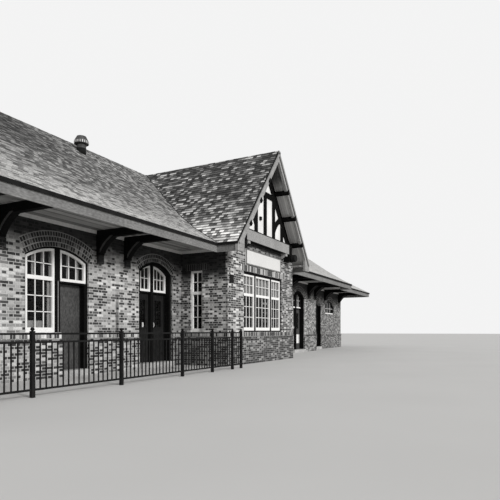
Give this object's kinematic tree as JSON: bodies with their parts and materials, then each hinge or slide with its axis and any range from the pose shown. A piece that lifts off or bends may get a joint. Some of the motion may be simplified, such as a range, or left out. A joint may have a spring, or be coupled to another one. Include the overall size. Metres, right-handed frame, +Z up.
{
  "type": "railway station building",
  "caption": "Long brick railway station with deep bracketed eaves, hipped shingle roofs and a half-timbered gable over a square bay that faces the tracks",
  "frame": {"origin": "on the ground, under the main ridge, on the centre line of the bay", "axes": "+X along the platform to the right as seen from the tracks, -Y towards the tracks, +Z up"},
  "size_m": [37.76, 11.328, 7.5243],
  "materials": {
    "brick": "brick walls with light mortar",
    "concrete": "concrete",
    "stucco": "white rough stucco",
    "shingles": "asphalt shingles",
    "dark_wood": "dark painted timber",
    "trim_wood": "grey painted trim",
    "white_wood": "white painted sashes",
    "door_paint": "dark painted doors",
    "glass": "clear glass",
    "iron": "black painted iron",
    "sheet_metal": "weathered sheet metal",
    "sign_board": "white painted board"
  },
  "bodies": {
    "building": {"back_brackets": "dark_wood", "back_glass": "glass", "back_sashes": "white_wood", "back_wall": "brick", "barge_boards": "trim_wood", "bay_floor": "concrete", "bay_front_wall": "brick", "bay_roof": "shingles", "bay_sashes": "white_wood", "bay_side_walls": "brick", "bay_window_frame": "dark_wood", "door_heads": "dark_wood", "door_hinges": "iron", "door_posts": "dark_wood", "door_steps": "concrete", "door_stops": "dark_wood", "end_roof_left": "shingles", "end_roof_right": "shingles", "end_section_back_walls": "brick", "end_section_brackets": "dark_wood", "end_section_doors": "door_paint", "end_section_front_walls": "brick", "end_section_outer_walls": "brick", "fence_panels": "iron", "fence_posts": "iron", "floor": "concrete", "front_brackets": "dark_wood", "front_glass": "glass", "front_sashes": "white_wood", "front_wall_arches": "brick", "front_wall_left_piers": "brick", "front_wall_right_piers": "brick", "gable_feet": "trim_wood", "gable_lamp": "iron", "gable_outlookers": "dark_wood", "gable_timbers": "dark_wood", "gable_wall": "stucco", "long_fascias": "trim_wood", "main_ceiling": "trim_wood", "main_end_walls": "brick", "main_roof": "shingles", "name_board": "sign_board", "outer_soffits": "trim_wood", "return_fascias": "trim_wood", "right_fixed_leaf": "door_paint", "right_fixed_leaf_glass": "glass", "roof_vent": "sheet_metal", "tie_beam": "trim_wood", "window_aprons": "brick"},
    "left_door": {"left_door": "door_paint"},
    "pair_door_left": {"pair_door_left": "door_paint", "pair_door_left_glass": "glass"},
    "pair_door_right": {"pair_door_right": "door_paint", "pair_door_right_glass": "glass"},
    "right_door": {"right_door": "door_paint", "right_door_glass": "glass"}
  },
  "joints": [
    {"name": "left_door_hinge", "type": "hinge", "parent": "building", "child": "left_door", "pos_m": [-6.742, -3.358, 0], "axis": [0, 0, -1], "range_deg": [0, 90]},
    {"name": "pair_door_left_hinge", "type": "hinge", "parent": "building", "child": "pair_door_left", "pos_m": [-4.588, -3.308, 0], "axis": [0, 0, 1], "range_deg": [0, 90]},
    {"name": "pair_door_right_hinge", "type": "hinge", "parent": "building", "child": "pair_door_right", "pos_m": [-3.222, -3.308, 0], "axis": [0, 0, -1], "range_deg": [0, 90]},
    {"name": "right_door_hinge", "type": "hinge", "parent": "building", "child": "right_door", "pos_m": [8.478, -3.308, 0], "axis": [0, 0, -1], "range_deg": [0, 90]}
  ]
}
